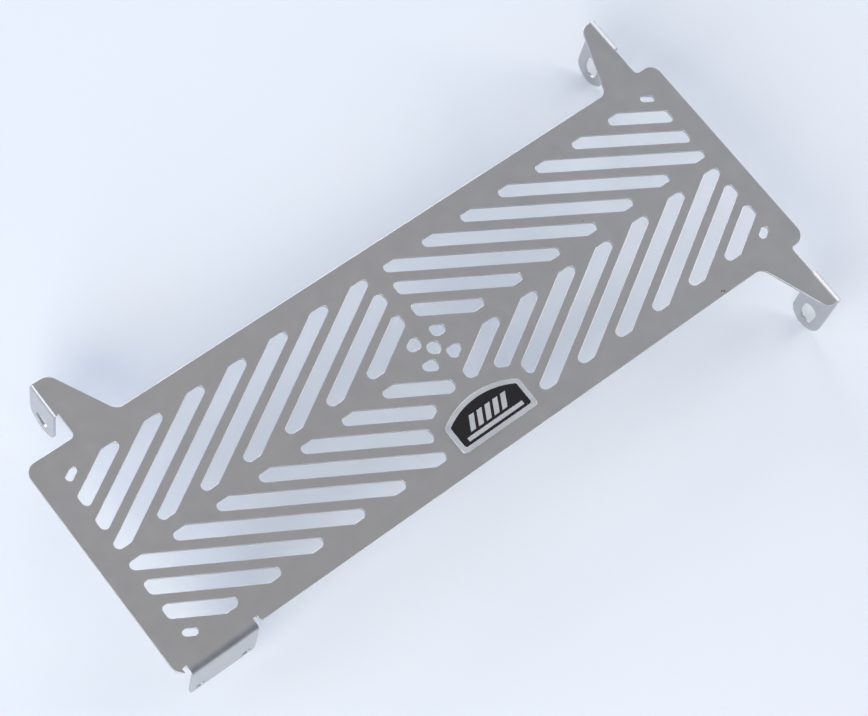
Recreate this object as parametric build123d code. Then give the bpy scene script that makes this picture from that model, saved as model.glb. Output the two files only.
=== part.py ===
from build123d import *
import math
import os

# Radiator guard folded from one stainless sheet, with a bonded name badge.
# Millimetres. X runs along the guard, Y across it and +Z out of its front.
# The origin is under the middle of the front panel, level with the lowest tabs.

SHEET = 1.5
BEND_INNER_RADIUS = 1.0

# Front panel
PANEL_LENGTH = 414.0
PANEL_HEIGHT = 129.2
PANEL_CORNER_RADIUS = 6.5

# Slanted slots, mirrored about both centre lines of the panel
SLOT_ANGLE = 30.0
SLOT_PITCH = 13.0
SLOT_WIDTH = 7.9
SLOT_CORNER_RADIUS = 2.75
SLOT_START = 9.1
END_MARGIN = 13.0
EDGE_MARGIN = 12.6
CENTRE_BAR = 7.6
CENTRE_HOLE_DIAMETER = 7.6

# Oblong holes for cable ties, one in each corner
TIE_HOLE_LENGTH = 7.8
TIE_HOLE_WIDTH = 4.0
TIE_END_DISTANCE = 17.5
TIE_EDGE_DISTANCE = 15.3

# Mounting tabs: lugs in the panel's plane, folded back at their outer edge
TAB_WIDTH = 20.6
TAB_SHOULDER = 0.7
TAB_SHOULDER_RADIUS = 0.6
LUG_SHOULDER_FILLET = 2.4
LUG_ROOT_FILLET = 6.3

RIGHT_TAB_DEPTH = 49.5
UPPER_FOLD_X = 195.2
UPPER_LUG_REACH = 39.7
LOWER_FOLD_X = 196.7
LOWER_LUG_REACH = 38.4
RIGHT_LUG_LEAN = 21.8
RIGHT_LUG_TIP = 7.3
RIGHT_LUG_TIP_RADIUS = 6.5
OBLONG_HOLE_WIDTH = 9.4
OBLONG_HOLE_LENGTH = 15.5
NICK_RADIUS = 0.8
NICK_OFFSET = 1.8

LEFT_TAB_DEPTH = 35.5
LEFT_FOLD_X = 177.3
LEFT_LUG_REACH = 34.9
LEFT_LUG_LEAN = 26.7
LEFT_LUG_TIP = 8.0
LEFT_LUG_TIP_RADIUS = 7.0
ROUND_HOLE_DIAMETER = 9.4

# Lower flange, folded back along the panel's lower edge
FLANGE_LENGTH = 39.3
FLANGE_END_DISTANCE = 6.4
FLANGE_DEPTH = 35.5
FLANGE_CORNER_RADIUS = 3.0
FLANGE_HOLE_DIAMETER = 5.5
FLANGE_HOLE_SPACING = 27.9
FLANGE_HOLE_HEIGHT = 4.9
RELIEF_WIDTH = 2.6
RELIEF_DEPTH = 3.3
RELIEF_LIP_RADIUS = 1.3

# Badge bonded to the plain land below the middle of the slots
BADGE_WIDTH = 49.0
BADGE_HEIGHT = 24.1
BADGE_RISE = 7.0
BADGE_SHIFT = 0.5
BADGE_EDGE_DISTANCE = 8.9
BADGE_CORNER_RADIUS = 2.8
BADGE_THICKNESS = 0.9
BADGE_EDGE_ROUND = 0.25
BADGE_RIM = 2.7
BADGE_RECESS = 0.15
LAND_SIDE_GAP = 6.3
LAND_TOP_GAP = 7.4

# Plain bars left standing in the badge's sunk field, over one straight line
BAR_COUNT = 5
BAR_PITCH = 5.2
BAR_WIDTH = 3.2
BAR_HEIGHT = 7.6
LINE_LENGTH = 36.0
LINE_WIDTH = 2.2
LINE_GAP = 1.6

front_z = RIGHT_TAB_DEPTH
bend_outer = BEND_INNER_RADIUS + SHEET
half_length = PANEL_LENGTH / 2
half_height = PANEL_HEIGHT / 2
window_x = half_length - END_MARGIN
window_y = half_height - EDGE_MARGIN
tie_x = half_length - TIE_END_DISTANCE
tie_y = half_height - TIE_EDGE_DISTANCE
slant = math.radians(SLOT_ANGLE)
badge_bottom = BADGE_EDGE_DISTANCE - half_height
badge_top = badge_bottom + BADGE_HEIGHT


def arch_radius(width, rise):
    """Radius of the arc that rises by that much over that width."""
    return (width**2 / 4 + rise**2) / (2 * rise)


def arched_face(width, bottom, top, radius, centre_x=0.0):
    """Flat-bottomed face with straight sides under one shallow arc."""
    block = Pos(centre_x, (bottom + top) / 2) * Rectangle(width, top - bottom)
    disc = Pos(centre_x, top - radius) * Circle(radius)
    return block & disc


def rounded_outline(corners):
    """Flat face through (x, y, radius) corners, each rounded by its own radius."""
    count = len(corners)
    bends = []
    for index, (x, y, radius) in enumerate(corners):
        here = Vector(x, y)
        back = (Vector(*corners[index - 1][:2]) - here).normalized()
        ahead = (Vector(*corners[(index + 1) % count][:2]) - here).normalized()
        half_angle = back.get_angle(ahead) / 2
        run = radius / math.tan(math.radians(half_angle))
        inset = radius / math.sin(math.radians(half_angle)) - radius
        middle = here + (back + ahead).normalized() * inset
        bends.append((here + back * run, middle, here + ahead * run))
    edges = []
    for index, (enter, middle, leave) in enumerate(bends):
        if corners[index][2] > 0:
            edges.append(Edge.make_three_point_arc(enter, middle, leave))
        edges.append(Edge.make_line(leave, bends[(index + 1) % count][0]))
    return make_face(Wire(edges))


def badge_land(grow):
    """Plain area kept round the badge, grown on every side but the lower one."""
    width = BADGE_WIDTH + 2 * LAND_SIDE_GAP
    radius = arch_radius(BADGE_WIDTH, BADGE_RISE) + LAND_TOP_GAP
    top = badge_top + LAND_TOP_GAP
    return arched_face(width + 2 * grow, -half_height, top + grow, radius + grow, BADGE_SHIFT / 2)


def quadrant_window(side, level, shrink):
    """Area of one quarter of the panel that the slots may fill."""
    low = CENTRE_BAR / 2 + shrink
    high_x = window_x - shrink
    high_y = window_y - shrink
    block = Rectangle(high_x - low, high_y - low)
    return Pos(side * (low + high_x) / 2, level * (low + high_y) / 2) * block


def slot_offsets():
    """Distances of the slots' centre lines from the middle, stopping short of the tie holes."""
    web = SLOT_PITCH - SLOT_WIDTH
    tie_line = tie_x * math.sin(slant) + tie_y * math.cos(slant)
    reach = tie_line - TIE_HOLE_WIDTH / 2 - web - SLOT_WIDTH / 2
    count = int((reach - SLOT_START) / SLOT_PITCH) + 1
    return [SLOT_START + SLOT_PITCH * step for step in range(count)]


def slot_cut(distance, side, level):
    """One slot with rounded corners, placed in its quarter of the panel."""
    band = Rectangle(2 * PANEL_LENGTH, SLOT_WIDTH - 2 * SLOT_CORNER_RADIUS)
    centre = Pos(side * distance * math.sin(slant), level * distance * math.cos(slant))
    core = centre * Rot(0, 0, -side * level * SLOT_ANGLE) * band
    core = core & quadrant_window(side, level, SLOT_CORNER_RADIUS)
    if level < 0:
        core = core - badge_land(SLOT_CORNER_RADIUS)
    return [grown(face, SLOT_CORNER_RADIUS) for face in core.faces()]


def grown(face, amount):
    """Face grown by a distance all round, so that its corners come out round."""
    return make_face(offset(face.outer_wire(), amount, kind=Kind.ARC))


def tie_holes():
    """Oblong holes in the four corners, lying the way the slots beside them do."""
    cuts = []
    for side in (-1, 1):
        for level in (-1, 1):
            turn = Rot(0, 0, -side * level * SLOT_ANGLE)
            cuts.append(Pos(side * tie_x, level * tie_y) * turn * SlotOverall(TIE_HOLE_LENGTH, TIE_HOLE_WIDTH))
    return cuts


def lug_corners(fold_x, reach, lean, tip, tip_radius):
    """Corners of a lug on the upper edge, from its fold line to its slanted edge."""
    top = half_height + reach
    shoulder_x = fold_x - TAB_SHOULDER
    shoulder_y = top - TAB_WIDTH
    tip_x = fold_x - tip
    root_x = tip_x - reach * math.tan(math.radians(lean))
    return [
        (shoulder_x, half_height, LUG_SHOULDER_FILLET),
        (shoulder_x, shoulder_y, TAB_SHOULDER_RADIUS),
        (fold_x, shoulder_y, 0),
        (fold_x, top, 0),
        (tip_x, top, tip_radius),
        (root_x, half_height, LUG_ROOT_FILLET),
    ]


def panel_outline():
    """Outline of the flat part of the sheet, lugs included."""
    right_shape = (RIGHT_LUG_LEAN, RIGHT_LUG_TIP, RIGHT_LUG_TIP_RADIUS)
    upper = lug_corners(UPPER_FOLD_X, UPPER_LUG_REACH, *right_shape)
    lower = lug_corners(LOWER_FOLD_X, LOWER_LUG_REACH, *right_shape)
    left = lug_corners(LEFT_FOLD_X, LEFT_LUG_REACH, LEFT_LUG_LEAN, LEFT_LUG_TIP, LEFT_LUG_TIP_RADIUS)
    corners = [(-half_length, -half_height, PANEL_CORNER_RADIUS)]
    corners += [(x, -y, radius) for x, y, radius in reversed(lower)]
    corners += [(half_length, -half_height, PANEL_CORNER_RADIUS)]
    corners += [(half_length, half_height, PANEL_CORNER_RADIUS)]
    corners += upper
    corners += [(-x, y, radius) for x, y, radius in reversed(left)]
    corners += [(-half_length, half_height, PANEL_CORNER_RADIUS)]
    return rounded_outline(corners)


def flange_centre_x():
    """Middle of the lower flange along the panel."""
    return -half_length + FLANGE_END_DISTANCE + FLANGE_LENGTH / 2


def relief_notch(side):
    """Round-ended notch beside one end of the lower flange's fold."""
    radius = RELIEF_WIDTH / 2
    x = flange_centre_x() + side * (FLANGE_LENGTH / 2 + radius)
    top = RELIEF_DEPTH - half_height
    mouth = Pos(x, top - radius - RELIEF_DEPTH) * Rectangle(RELIEF_WIDTH, 2 * RELIEF_DEPTH)
    return mouth + Pos(x, top - radius) * Circle(radius)


def relief_lip():
    """Sheet taken off to round the lip beside the inner notch."""
    x = flange_centre_x() + FLANGE_LENGTH / 2 + RELIEF_WIDTH
    radius = RELIEF_LIP_RADIUS
    block = Pos(x + radius / 2, radius / 2 - half_height) * Rectangle(radius, radius)
    return block - Pos(x + radius, radius - half_height) * Circle(radius)


def front_panel():
    """Flat sheet with every slot and hole cut through it."""
    cuts = tie_holes() + [Circle(CENTRE_HOLE_DIAMETER / 2)]
    cuts += [relief_notch(-1), relief_notch(1), relief_lip()]
    for distance in slot_offsets():
        for side in (-1, 1):
            for level in (-1, 1):
                cuts += slot_cut(distance, side, level)
    sheet = extrude(panel_outline(), SHEET)
    tools = [Pos(0, 0, -SHEET) * extrude(cut, 3 * SHEET) for cut in cuts]
    return Pos(0, 0, front_z - SHEET) * (sheet - tools)


def folded_strip(width):
    """Quarter bend centred on the X axis: starts at y = 0, z = 0 and turns down behind it."""
    ring = Circle(bend_outer) - Circle(BEND_INNER_RADIUS)
    quarter = Pos(bend_outer / 2, bend_outer / 2) * Rectangle(bend_outer, bend_outer)
    bend = extrude(ring & quarter, width / 2, both=True)
    return Pos(0, 0, -bend_outer) * Rot(0, 0, 90) * Rot(90, 0, 0) * bend


def tab(width, depth, outline, holes):
    """Bend and folded-back leaf, with its outer face at y = bend_outer."""
    leaf = outline - holes
    plate = Pos(0, bend_outer, -depth) * Rot(90, 0, 0) * extrude(leaf, SHEET)
    return folded_strip(width) + plate


def round_tab(depth, holes):
    """Folded tab with a half-round end. Its sketch has y = 0 at the tip."""
    radius = TAB_WIDTH / 2
    straight = depth - bend_outer - radius
    outline = Pos(0, radius) * Circle(radius)
    outline += Pos(0, radius + straight / 2) * Rectangle(TAB_WIDTH, straight)
    return tab(TAB_WIDTH, depth, outline, holes)


def oblong_hole():
    """Adjusting hole of a right tab, with the nick its cutter left at the lower end."""
    half_travel = (OBLONG_HOLE_LENGTH - OBLONG_HOLE_WIDTH) / 2
    low = TAB_WIDTH / 2
    hole = Pos(0, low + half_travel) * Rot(0, 0, 90) * SlotOverall(OBLONG_HOLE_LENGTH, OBLONG_HOLE_WIDTH)
    radius = OBLONG_HOLE_WIDTH / 2
    drop = math.sqrt(radius**2 - NICK_OFFSET**2)
    return hole + Pos(-NICK_OFFSET, low - drop) * Circle(NICK_RADIUS)


def right_tab(fold_x, reach, level):
    """Long tab at the right-hand end, on the upper or the lower lug."""
    middle = level * (half_height + reach - TAB_WIDTH / 2)
    shape = round_tab(RIGHT_TAB_DEPTH, oblong_hole())
    return Pos(fold_x, middle, front_z) * Rot(0, 0, -90) * shape


def left_tab():
    """Short tab at the left-hand end, with one round hole."""
    middle = half_height + LEFT_LUG_REACH - TAB_WIDTH / 2
    hole = Pos(0, TAB_WIDTH / 2) * Circle(ROUND_HOLE_DIAMETER / 2)
    return Pos(-LEFT_FOLD_X, middle, front_z) * Rot(0, 0, 90) * round_tab(LEFT_TAB_DEPTH, hole)


def lower_flange():
    """Wide leaf folded back from the lower edge, with two holes near its free edge."""
    end = FLANGE_LENGTH / 2
    height = FLANGE_DEPTH - bend_outer
    corners = [(-end, 0, FLANGE_CORNER_RADIUS), (end, 0, FLANGE_CORNER_RADIUS)]
    outline = rounded_outline(corners + [(end, height, 0), (-end, height, 0)])
    holes = [
        Pos(side * FLANGE_HOLE_SPACING / 2, FLANGE_HOLE_HEIGHT) * Circle(FLANGE_HOLE_DIAMETER / 2)
        for side in (-1, 1)
    ]
    shape = tab(FLANGE_LENGTH, FLANGE_DEPTH, outline, holes)
    return Pos(flange_centre_x(), -half_height, front_z) * Rot(0, 0, 180) * shape


def guard_plate():
    """The whole folded sheet."""
    right_tabs = right_tab(UPPER_FOLD_X, UPPER_LUG_REACH, 1) + right_tab(LOWER_FOLD_X, LOWER_LUG_REACH, -1)
    return front_panel() + right_tabs + left_tab() + lower_flange()


def badge_face(shrink):
    """Arched outline of the badge, drawn in by a distance on every side."""
    radius = arch_radius(BADGE_WIDTH, BADGE_RISE) - shrink
    width = BADGE_WIDTH - 2 * shrink
    face = arched_face(width, badge_bottom + shrink, badge_top - shrink, radius, BADGE_SHIFT)
    return fillet(face.vertices(), BADGE_CORNER_RADIUS - shrink / 2)


def badge_bars():
    """Row of slanted bars over one straight line, all short of the rim."""
    field_low = badge_bottom + BADGE_RIM
    line_y = field_low + LINE_GAP + LINE_WIDTH / 2
    middle = line_y + LINE_WIDTH / 2 + LINE_GAP + BAR_HEIGHT / 2
    bar_lean = BAR_HEIGHT / 2 * math.tan(slant)
    bars = Pos(BADGE_SHIFT, line_y) * Rectangle(LINE_LENGTH, LINE_WIDTH)
    for index in range(BAR_COUNT):
        x = BADGE_SHIFT + (index - (BAR_COUNT - 1) / 2) * BAR_PITCH
        foot = x - bar_lean - BAR_WIDTH / 2
        head = x + bar_lean - BAR_WIDTH / 2
        low = middle - BAR_HEIGHT / 2
        high = middle + BAR_HEIGHT / 2
        points = [(foot, low), (foot + BAR_WIDTH, low), (head + BAR_WIDTH, high), (head, high)]
        bars += make_face(Polyline(points, close=True))
    return bars


def badge():
    """Thin badge with an arched top and softened front edge, its field sunk round the rim and bars."""
    plate = extrude(badge_face(0), BADGE_THICKNESS)
    front_edges = plate.edges().group_by(Axis.Z)[-1]
    plate = fillet(front_edges, BADGE_EDGE_ROUND)
    field = extrude(badge_face(BADGE_RIM) - badge_bars(), BADGE_THICKNESS)
    return Pos(0, 0, front_z) * (plate - Pos(0, 0, BADGE_THICKNESS - BADGE_RECESS) * field)


os.makedirs("parts", exist_ok=True)
export_step(guard_plate(), "parts/guard_plate.step")
export_step(badge(), "parts/badge.step")
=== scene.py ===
"""A folded stainless radiator guard that stands on its right-hand tabs on a pale floor, in soft light."""

import math

import bpy
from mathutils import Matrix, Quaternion, Vector


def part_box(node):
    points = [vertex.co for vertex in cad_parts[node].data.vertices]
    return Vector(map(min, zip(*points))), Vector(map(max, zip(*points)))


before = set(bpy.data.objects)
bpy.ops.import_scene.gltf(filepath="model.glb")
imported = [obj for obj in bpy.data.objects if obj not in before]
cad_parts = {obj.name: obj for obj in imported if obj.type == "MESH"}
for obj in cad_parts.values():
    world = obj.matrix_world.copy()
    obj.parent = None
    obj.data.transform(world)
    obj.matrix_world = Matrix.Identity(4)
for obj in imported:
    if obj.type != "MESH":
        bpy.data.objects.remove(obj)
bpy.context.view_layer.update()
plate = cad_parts["guard_plate"]
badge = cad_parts["badge"]

# Corners and heights in metres, read from the frame
plate_low, plate_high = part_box("guard_plate")
badge_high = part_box("badge")[1]
front_z = plate_high.z
badge_top_z = badge_high.z

# In all that follows, a pattern of noise is its waves to the metre, its detail and its roughness.
# A span is the two levels of a pattern or measure between which one look turns into another.

# Camera, solved from the photograph. Its place is measured from the middle of the front. That and
# its reach are in metres, and its lens and sensor in millimetres.
CAMERA_OFFSET = Vector((-0.41067, -0.27196, 1.04968))
AIM_OFFSET = Vector((-0.00372, -0.00458, 0.0))
CAMERA_ROLL = math.radians(20.04)
CAMERA_LENS = 93.716
SENSOR_WIDTH = 36.0
CAMERA_REACH = 50.0

# Floor. From the near to the far distance its light gives way to one even tone, since it would be too
# bright beside the lamps.
FLOOR_SIZE = 40.0
FLOOR_NEAR = 0.36
FLOOR_FAR = 0.75
FLOOR_FAR_COLOUR = (0.775, 0.845, 0.93, 1.0)
FLOOR_COLOUR = (0.795, 0.855, 0.93, 1.0)
FLOOR_COLOUR_DIM = (0.765, 0.832, 0.915, 1.0)
FLOOR_ROUGHNESS = 0.85
FLOOR_SPECULAR = 0.2
FLOOR_MOTTLE = (1.6, 2.0, 0.5)
FLOOR_TONE_SPAN = (0.35, 0.65)

# Edges are shown slightly rounded, and lighter on the edge as a painted highlight, as far as a
# material's share of it says. The span is of the agreement between the rounded direction of a face
# and its own: the first level is just off the flat, the second is on the edge.
EDGE_SAMPLES = 6
EDGE_SPAN = (0.995, 0.80)
EDGE_HIGHLIGHT_COLOUR = (0.74, 0.74, 0.76, 1.0)

# Stainless sheet. The shares say how much the coarse clouds and the fine grain each give to its tone.
STEEL_COLOUR = (0.60, 0.592, 0.595, 1.0)
STEEL_COLOUR_DIM = (0.565, 0.56, 0.568, 1.0)
STEEL_DRIFT = (14.0, 4.0, 0.5)
STEEL_MOTTLE = (130.0, 5.0, 0.6)
STEEL_GRAIN = (1700.0, 4.0, 0.65)
STEEL_CLOUD_SHARE = 0.7
STEEL_GRAIN_SHARE = 0.3
STEEL_TONE_SPAN = (0.38, 0.62)
STEEL_GLOSS_SPAN = (0.7, 1.3)
STEEL_ROUGHNESS = (0.30, 0.38)
STEEL_GRAIN_DEPTH = 0.000012
STEEL_EDGE_RADIUS = 0.00035
# Painted highlight on the edges: the span of the mottle over which its share grows, and that share.
STEEL_EDGE_HIGHLIGHT_SPAN = (0.35, 0.6)
STEEL_EDGE_HIGHLIGHT = (0.4, 1.0)

# Three folds that the light shows as a wider bend than the sheet's own: the two right-hand tabs, upper
# and lower, and the flange. For each, the way that its outer face looks, how far out that face lies,
# and the two ends of the fold along the edge. The span is of the agreement between the wider bend and
# the face itself, and the onset is how far into the bend the wider one starts.
TO_RIGHT = (1.0, 0.0, 0.0)
TO_LOWER_EDGE = (0.0, -1.0, 0.0)
UPPER_TAB_FACE = 0.1977
LOWER_TAB_FACE = 0.1992
TAB_WIDTH = 0.0206
FLANGE_FACE = 0.0671
FLANGE_LENGTH = 0.0393
FLANGE_END_DISTANCE = 0.0064
FLANGE_START = plate_low.x + FLANGE_END_DISTANCE
FOLD_RADIUS = 0.0045
FOLD_SPAN = (0.78, 0.84)
FOLD_ONSET = 0.0001
FOLDS = (
    (TO_RIGHT, UPPER_TAB_FACE, plate_high.y - TAB_WIDTH, plate_high.y),
    (TO_RIGHT, LOWER_TAB_FACE, plate_low.y, plate_low.y + TAB_WIDTH),
    (TO_LOWER_EDGE, FLANGE_FACE, FLANGE_START, FLANGE_START + FLANGE_LENGTH),
)

# Small specks of dirt on the sheet: where they lie, their radius and how strong they are. The span
# is in radii.
SPECKS = (
    (Vector((0.14704, -0.06227, front_z)), 0.0005, 1.0),
    (Vector((0.14820, -0.06308, front_z)), 0.00055, 1.0),
    (Vector((0.11150, 0.01194, front_z)), 0.0005, 0.5),
)
SPECK_COLOUR = (0.05, 0.035, 0.03, 1.0)
SPECK_DETAIL = 2.0
SPECK_SPAN = (1.5, 1.1)

# Badge, with a satin rim and bars round a sunk gloss field. The field's span is in shares of its
# depth, and the span of the faces is of how squarely they look up.
RIM_COLOUR = (0.625, 0.645, 0.685, 1.0)
RIM_COLOUR_DIM = (0.55, 0.57, 0.61, 1.0)
RIM_ROUGHNESS = (0.34, 0.46)
RIM_METALLIC = 0.55
RIM_EDGE_RADIUS = 0.00012
# Share of the painted edge highlight on the badge's rim and bars.
RIM_EDGE_HIGHLIGHT = 0.5
FIELD_COLOUR = (0.006, 0.006, 0.009, 1.0)
FIELD_ROUGHNESS = (0.16, 0.22)
FIELD_DEPTH = 0.00015
FIELD_SPAN = (0.4, 0.6)
FACES_UP_SPAN = (0.9, 0.95)
BADGE_MOTTLE = (130.0, 3.0, 0.5)
BADGE_TONE_SPAN = (0.35, 0.65)
BADGE_GRAIN = (2200.0, 4.0, 0.6)
BADGE_GLOSS_SPAN = (0.3, 0.7)
BADGE_GRAIN_DEPTH = 0.000006

# World light: an even blue-grey sky, a paler ceiling that the flat sheet mirrors, and a darker, greyer
# patch where the room lies beyond the lower edge. Angles are degrees from the middle of each patch.
SKY_COLOUR = (0.255, 0.325, 0.44, 1.0)
CEILING_DIRECTION = (0.20, 0.255, 0.946)
CEILING_COLOUR = (0.47, 0.47, 0.475, 1.0)
CEILING_INNER_ANGLE = 12.0
CEILING_OUTER_ANGLE = 44.0
ROOM_DIRECTION = (0.354, -0.80, 0.45)
ROOM_COLOUR = (0.215, 0.225, 0.245, 1.0)
ROOM_INNER_ANGLE = 14.0
ROOM_OUTER_ANGLE = 38.0

# Soft lamps: name, azimuth and elevation in degrees, size in metres, watts, colour
LAMP_DISTANCE = 2.0
LAMPS = (
    ("front", 205.0, 33.0, 1.4, 28.2, (1.0, 0.89, 0.63)),
    ("front_low", 202.0, 16.0, 1.2, 14.5, (0.27, 0.43, 1.0)),
    ("upper_side", 75.0, 18.0, 1.2, 20.0, (1.0, 0.90, 0.88)),
    ("right_low", 337.0, 18.0, 1.2, 19.5, (1.0, 0.90, 0.78)),
    ("right_fold", 14.0, 13.0, 1.2, 6.8, (1.0, 1.0, 1.0)),
    ("left_fold", 158.0, 33.0, 0.9, 5.8, (1.0, 1.0, 1.0)),
)


def new_material(name):
    """Empty node material, with its node tree and output node."""
    material = bpy.data.materials.new(name)
    material.use_nodes = True
    material.node_tree.nodes.clear()
    output = material.node_tree.nodes.new("ShaderNodeOutputMaterial")
    return material, material.node_tree, output


def feed(tree, socket, value):
    """Gives a socket what another socket puts out, or a fixed number, vector or colour."""
    if isinstance(value, bpy.types.NodeSocket):
        tree.links.new(value, socket)
    else:
        socket.default_value = value


def object_coordinates(tree):
    """Socket with the point in the object's own metres."""
    return tree.nodes.new("ShaderNodeTexCoord").outputs["Object"]


def true_normal(tree):
    """Socket with the direction that the face itself looks, before any rounding or bump."""
    return tree.nodes.new("ShaderNodeNewGeometry").outputs["True Normal"]


def noise(tree, point, scale, detail, roughness=0.5):
    """Socket with noise of that many waves to the metre."""
    node = tree.nodes.new("ShaderNodeTexNoise")
    node.inputs["Scale"].default_value = scale
    node.inputs["Detail"].default_value = detail
    node.inputs["Roughness"].default_value = roughness
    tree.links.new(point, node.inputs["Vector"])
    return node.outputs["Fac"]


def ranged(tree, value, from_low, from_high, to_low=0.0, to_high=1.0):
    """Socket with a value carried from one range to another, held at its ends."""
    node = tree.nodes.new("ShaderNodeMapRange")
    node.clamp = True
    node.inputs["From Min"].default_value = from_low
    node.inputs["From Max"].default_value = from_high
    node.inputs["To Min"].default_value = to_low
    node.inputs["To Max"].default_value = to_high
    tree.links.new(value, node.inputs["Value"])
    return node.outputs["Result"]


def math_node(tree, operation, first, second):
    """Socket with the result of one operation on two sockets or numbers."""
    node = tree.nodes.new("ShaderNodeMath")
    node.operation = operation
    feed(tree, node.inputs[0], first)
    feed(tree, node.inputs[1], second)
    return node.outputs["Value"]


def product(tree, first, second):
    """Socket with two sockets or numbers multiplied."""
    return math_node(tree, "MULTIPLY", first, second)


def mean(tree, first, second):
    """Socket with the mean of two sockets."""
    return product(tree, math_node(tree, "ADD", first, second), 0.5)


def vector_node(tree, operation, *vectors):
    """Node that works on one or two vectors, each a socket or fixed."""
    node = tree.nodes.new("ShaderNodeVectorMath")
    node.operation = operation
    for socket, vector in zip(node.inputs, vectors):
        feed(tree, socket, vector)
    return node


def dot(tree, first, second):
    """Socket with the dot product of two vectors."""
    return vector_node(tree, "DOT_PRODUCT", first, second).outputs["Value"]


def height(tree, vector):
    """Socket with the third number of a vector."""
    node = tree.nodes.new("ShaderNodeSeparateXYZ")
    tree.links.new(vector, node.inputs["Vector"])
    return node.outputs["Z"]


def mixed(tree, factor, first, second, kind="RGBA"):
    """Socket with two colours, or two of another kind such as VECTOR, mixed by a factor."""
    node = tree.nodes.new("ShaderNodeMix")
    node.data_type = kind
    tree.links.new(factor, node.inputs["Factor"])
    for name, value in (("A", first), ("B", second)):
        socket = [one for one in node.inputs if one.name == name and one.type == kind][0]
        feed(tree, socket, value)
    return [one for one in node.outputs if one.type == kind][0]


def soft_edges(tree, radius):
    """Sockets with normals rounded over the edges, and how near an edge is."""
    bevel = tree.nodes.new("ShaderNodeBevel")
    bevel.samples = EDGE_SAMPLES
    bevel.inputs["Radius"].default_value = radius
    flatness = dot(tree, bevel.outputs["Normal"], true_normal(tree))
    return bevel.outputs["Normal"], ranged(tree, flatness, *EDGE_SPAN)


def bumped(tree, value, normal, distance):
    """Socket with normals bumped by a value, that many metres deep."""
    node = tree.nodes.new("ShaderNodeBump")
    node.inputs["Distance"].default_value = distance
    tree.links.new(value, node.inputs["Height"])
    tree.links.new(normal, node.inputs["Normal"])
    return node.outputs["Normal"]


def between_ends(tree, point, direction, start, end):
    """Socket that is 1 between the two ends of a fold, measured along its edge, and 0 past them."""
    along = dot(tree, point, (abs(direction[1]), abs(direction[0]), 0.0))
    after_start = math_node(tree, "GREATER_THAN", along, start)
    before_end = math_node(tree, "LESS_THAN", along, end)
    return product(tree, after_start, before_end)


def wider_bend(tree, point, normal, fold):
    """Socket with the normals of the outer face of one fold turned as over a wider bend."""
    direction, reach, start, end = fold
    out = ranged(tree, dot(tree, point, direction), reach - FOLD_RADIUS, reach)
    up = ranged(tree, height(tree, point), front_z - FOLD_RADIUS, front_z)
    slope = tree.nodes.new("ShaderNodeCombineXYZ")
    tree.links.new(product(tree, out, direction[0]), slope.inputs["X"])
    tree.links.new(product(tree, out, direction[1]), slope.inputs["Y"])
    tree.links.new(up, slope.inputs["Z"])
    turned = vector_node(tree, "NORMALIZE", slope.outputs["Vector"]).outputs["Vector"]

    agrees = ranged(tree, dot(tree, turned, true_normal(tree)), *FOLD_SPAN)
    beyond = math_node(tree, "GREATER_THAN", product(tree, out, up), FOLD_ONSET)
    inside = product(tree, between_ends(tree, point, direction, start, end), beyond)
    return mixed(tree, product(tree, inside, agrees), normal, turned, "VECTOR")


def speck_mask(tree, point, place, radius):
    """Socket that is 1 inside a small ragged speck and 0 outside it."""
    distance = vector_node(tree, "DISTANCE", point, place).outputs["Value"]
    ragged = noise(tree, point, 1.0 / radius, SPECK_DETAIL)
    reach = math_node(tree, "ADD", distance, product(tree, ragged, radius))
    outer, inner = SPECK_SPAN
    return ranged(tree, reach, outer * radius, inner * radius)


def steel_colour(tree, point, mottle, grain, edge):
    """Socket with the sheet's colour: cloudy tone, a painted highlight on the edges and a few specks of
    dirt.
    """
    cloud = mean(tree, noise(tree, point, *STEEL_DRIFT), mottle)
    coarse = product(tree, cloud, STEEL_CLOUD_SHARE)
    fine = product(tree, grain, STEEL_GRAIN_SHARE)
    tone = ranged(tree, math_node(tree, "ADD", coarse, fine), *STEEL_TONE_SPAN)
    colour = mixed(tree, tone, STEEL_COLOUR_DIM, STEEL_COLOUR)
    # Painted highlight: edges turn towards a lighter colour, more where the mottle is high.
    edge_highlight = product(tree, edge, ranged(tree, mottle, *STEEL_EDGE_HIGHLIGHT_SPAN, *STEEL_EDGE_HIGHLIGHT))
    colour = mixed(tree, edge_highlight, colour, EDGE_HIGHLIGHT_COLOUR)
    for place, radius, strength in SPECKS:
        cover = product(tree, speck_mask(tree, point, place, radius), strength)
        colour = mixed(tree, cover, colour, SPECK_COLOUR)
    return colour


def steel_material():
    """Satin stainless sheet with a fine even grain, and a wider bend over three of its folds."""
    material, tree, output = new_material("satin_stainless")
    shader = tree.nodes.new("ShaderNodeBsdfPrincipled")
    tree.links.new(shader.outputs["BSDF"], output.inputs["Surface"])
    shader.inputs["Metallic"].default_value = 1.0
    point = object_coordinates(tree)
    mottle = noise(tree, point, *STEEL_MOTTLE)
    grain = noise(tree, point, *STEEL_GRAIN)
    normal, edge = soft_edges(tree, STEEL_EDGE_RADIUS)
    for fold in FOLDS:
        normal = wider_bend(tree, point, normal, fold)

    tree.links.new(steel_colour(tree, point, mottle, grain, edge), shader.inputs["Base Color"])
    both = math_node(tree, "ADD", mottle, grain)
    tree.links.new(ranged(tree, both, *STEEL_GLOSS_SPAN, *STEEL_ROUGHNESS), shader.inputs["Roughness"])
    tree.links.new(bumped(tree, grain, normal, STEEL_GRAIN_DEPTH), shader.inputs["Normal"])
    return material


def field_mask(tree, point):
    """Socket that is 1 on the sunk field of the badge and 0 on its rim, its bars and its walls."""
    faces_up = ranged(tree, height(tree, true_normal(tree)), *FACES_UP_SPAN)
    upper, lower = [badge_top_z - share * FIELD_DEPTH for share in FIELD_SPAN]
    sunk = ranged(tree, height(tree, point), upper, lower)
    return product(tree, faces_up, sunk)


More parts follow.
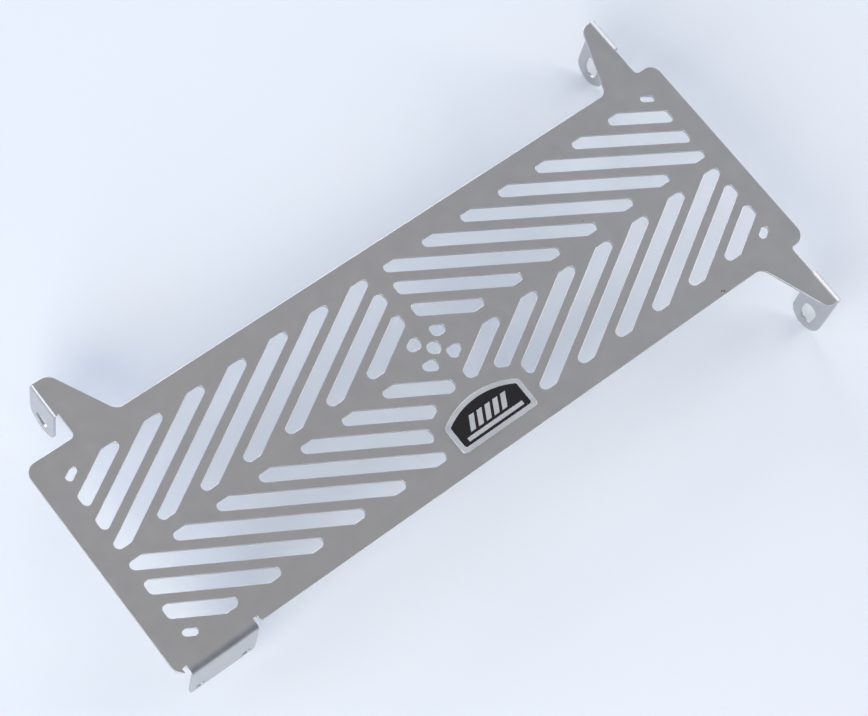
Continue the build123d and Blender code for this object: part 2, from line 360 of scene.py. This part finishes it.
def badge_material():
    """Satin silver rim and bars standing over a sunk field of gloss black."""
    material, tree, output = new_material("badge_finish")
    shader = tree.nodes.new("ShaderNodeBsdfPrincipled")
    tree.links.new(shader.outputs["BSDF"], output.inputs["Surface"])
    point = object_coordinates(tree)
    field = field_mask(tree, point)
    grain = noise(tree, point, *BADGE_GRAIN)
    normal, edge = soft_edges(tree, RIM_EDGE_RADIUS)

    tone = ranged(tree, noise(tree, point, *BADGE_MOTTLE), *BADGE_TONE_SPAN)
    silver = mixed(tree, tone, RIM_COLOUR_DIM, RIM_COLOUR)
    # Painted highlight: the rim's edges turn towards the lighter edge colour.
    silver = mixed(tree, product(tree, edge, RIM_EDGE_HIGHLIGHT), silver, EDGE_HIGHLIGHT_COLOUR)
    tree.links.new(mixed(tree, field, silver, FIELD_COLOUR), shader.inputs["Base Color"])
    tree.links.new(ranged(tree, field, 0.0, 1.0, RIM_METALLIC, 0.0), shader.inputs["Metallic"])
    rough = tree.nodes.new("ShaderNodeMix")
    tree.links.new(field, rough.inputs["Factor"])
    tree.links.new(ranged(tree, grain, *BADGE_GLOSS_SPAN, *RIM_ROUGHNESS), rough.inputs["A"])
    tree.links.new(ranged(tree, grain, *BADGE_GLOSS_SPAN, *FIELD_ROUGHNESS), rough.inputs["B"])
    tree.links.new(rough.outputs["Result"], shader.inputs["Roughness"])
    tree.links.new(bumped(tree, grain, normal, BADGE_GRAIN_DEPTH), shader.inputs["Normal"])
    return material


def far_and_seen(tree, point):
    """Socket that rises to 1 far out on the floor, for rays from the camera, gloss and glass alone."""
    distance = vector_node(tree, "LENGTH", point).outputs["Value"]
    far = ranged(tree, distance, FLOOR_NEAR, FLOOR_FAR)
    ray = tree.nodes.new("ShaderNodeLightPath").outputs
    seen = math_node(tree, "MAXIMUM", ray["Is Camera Ray"], ray["Is Glossy Ray"])
    seen = math_node(tree, "MAXIMUM", seen, ray["Is Transmission Ray"])
    return product(tree, far, seen)


def floor_material():
    """Pale blue-white matt board. Far out, one even tone is seen in place of the light on it."""
    material, tree, output = new_material("pale_board")
    shader = tree.nodes.new("ShaderNodeBsdfPrincipled")
    shader.inputs["Roughness"].default_value = FLOOR_ROUGHNESS
    shader.inputs["Specular IOR Level"].default_value = FLOOR_SPECULAR
    point = object_coordinates(tree)
    tone = ranged(tree, noise(tree, point, *FLOOR_MOTTLE), *FLOOR_TONE_SPAN)
    tree.links.new(mixed(tree, tone, FLOOR_COLOUR_DIM, FLOOR_COLOUR), shader.inputs["Base Color"])

    even = tree.nodes.new("ShaderNodeEmission")
    even.inputs["Color"].default_value = FLOOR_FAR_COLOUR
    blend = tree.nodes.new("ShaderNodeMixShader")
    tree.links.new(far_and_seen(tree, point), blend.inputs["Fac"])
    tree.links.new(shader.outputs["BSDF"], blend.inputs[1])
    tree.links.new(even.outputs["Emission"], blend.inputs[2])
    tree.links.new(blend.outputs["Shader"], output.inputs["Surface"])
    return material


def make_floor():
    """Large flat floor under the tips of the right-hand tabs, which are the lowest points."""
    half = FLOOR_SIZE / 2
    mesh = bpy.data.meshes.new("floor")
    corners = [(-half, -half, 0.0), (half, -half, 0.0), (half, half, 0.0), (-half, half, 0.0)]
    mesh.from_pydata(corners, [], [(0, 1, 2, 3)])
    floor = bpy.data.objects.new("floor", mesh)
    bpy.context.scene.collection.objects.link(floor)
    floor.location.z = plate_low.z
    mesh.materials.append(floor_material())


def paint(node, material):
    """Gives every material slot of a CAD node one material."""
    for slot in node.material_slots:
        slot.material = material


def sky_patch(tree, direction, towards, inner, outer):
    """Socket that is 1 near a direction in the sky and falls to 0 further out."""
    nearness = dot(tree, direction, Vector(towards).normalized())
    return ranged(tree, nearness, math.cos(math.radians(outer)), math.cos(math.radians(inner)))


def make_world():
    """Even sky with a paler ceiling and a darker, greyer patch for the room."""
    world = bpy.data.worlds.new("sky")
    bpy.context.scene.world = world
    world.use_nodes = True
    tree = world.node_tree
    tree.nodes.clear()
    output = tree.nodes.new("ShaderNodeOutputWorld")
    background = tree.nodes.new("ShaderNodeBackground")
    tree.links.new(background.outputs["Background"], output.inputs["Surface"])
    direction = tree.nodes.new("ShaderNodeTexCoord").outputs["Generated"]
    ceiling = sky_patch(tree, direction, CEILING_DIRECTION, CEILING_INNER_ANGLE, CEILING_OUTER_ANGLE)
    room = sky_patch(tree, direction, ROOM_DIRECTION, ROOM_INNER_ANGLE, ROOM_OUTER_ANGLE)
    colour = mixed(tree, ceiling, SKY_COLOUR, CEILING_COLOUR)
    tree.links.new(mixed(tree, room, colour, ROOM_COLOUR), background.inputs["Color"])


def area_lamp(name, azimuth, elevation, size, watts, colour):
    """Square soft lamp that hangs in a direction from the guard and faces it."""
    data = bpy.data.lights.new(name, "AREA")
    data.shape = "SQUARE"
    data.size = size
    data.energy = watts
    data.color = colour
    lamp = bpy.data.objects.new(name, data)
    lamp.visible_camera = False
    bpy.context.scene.collection.objects.link(lamp)
    level = math.cos(math.radians(elevation))
    direction = (
        level * math.cos(math.radians(azimuth)),
        level * math.sin(math.radians(azimuth)),
        math.sin(math.radians(elevation)),
    )
    place = Vector(direction) * LAMP_DISTANCE
    lamp.location = place
    lamp.rotation_euler = place.to_track_quat("Z", "Y").to_euler()


def make_camera():
    """Camera of the photograph, with its sideways tilt."""
    data = bpy.data.cameras.new("camera")
    data.lens = CAMERA_LENS
    data.sensor_width = SENSOR_WIDTH
    data.clip_end = CAMERA_REACH
    camera = bpy.data.objects.new("camera", data)
    bpy.context.scene.collection.objects.link(camera)
    middle = Vector((0.0, 0.0, front_z))
    camera.location = middle + CAMERA_OFFSET
    aim = (middle + AIM_OFFSET - camera.location).to_track_quat("-Z", "Y")
    roll = Quaternion((0.0, 0.0, 1.0), CAMERA_ROLL)
    camera.rotation_mode = "QUATERNION"
    camera.rotation_quaternion = aim @ roll
    bpy.context.scene.camera = camera


bpy.context.scene.view_settings.view_transform = "Standard"
make_camera()
make_floor()
make_world()
for lamp in LAMPS:
    area_lamp(*lamp)
paint(plate, steel_material())
paint(badge, badge_material())
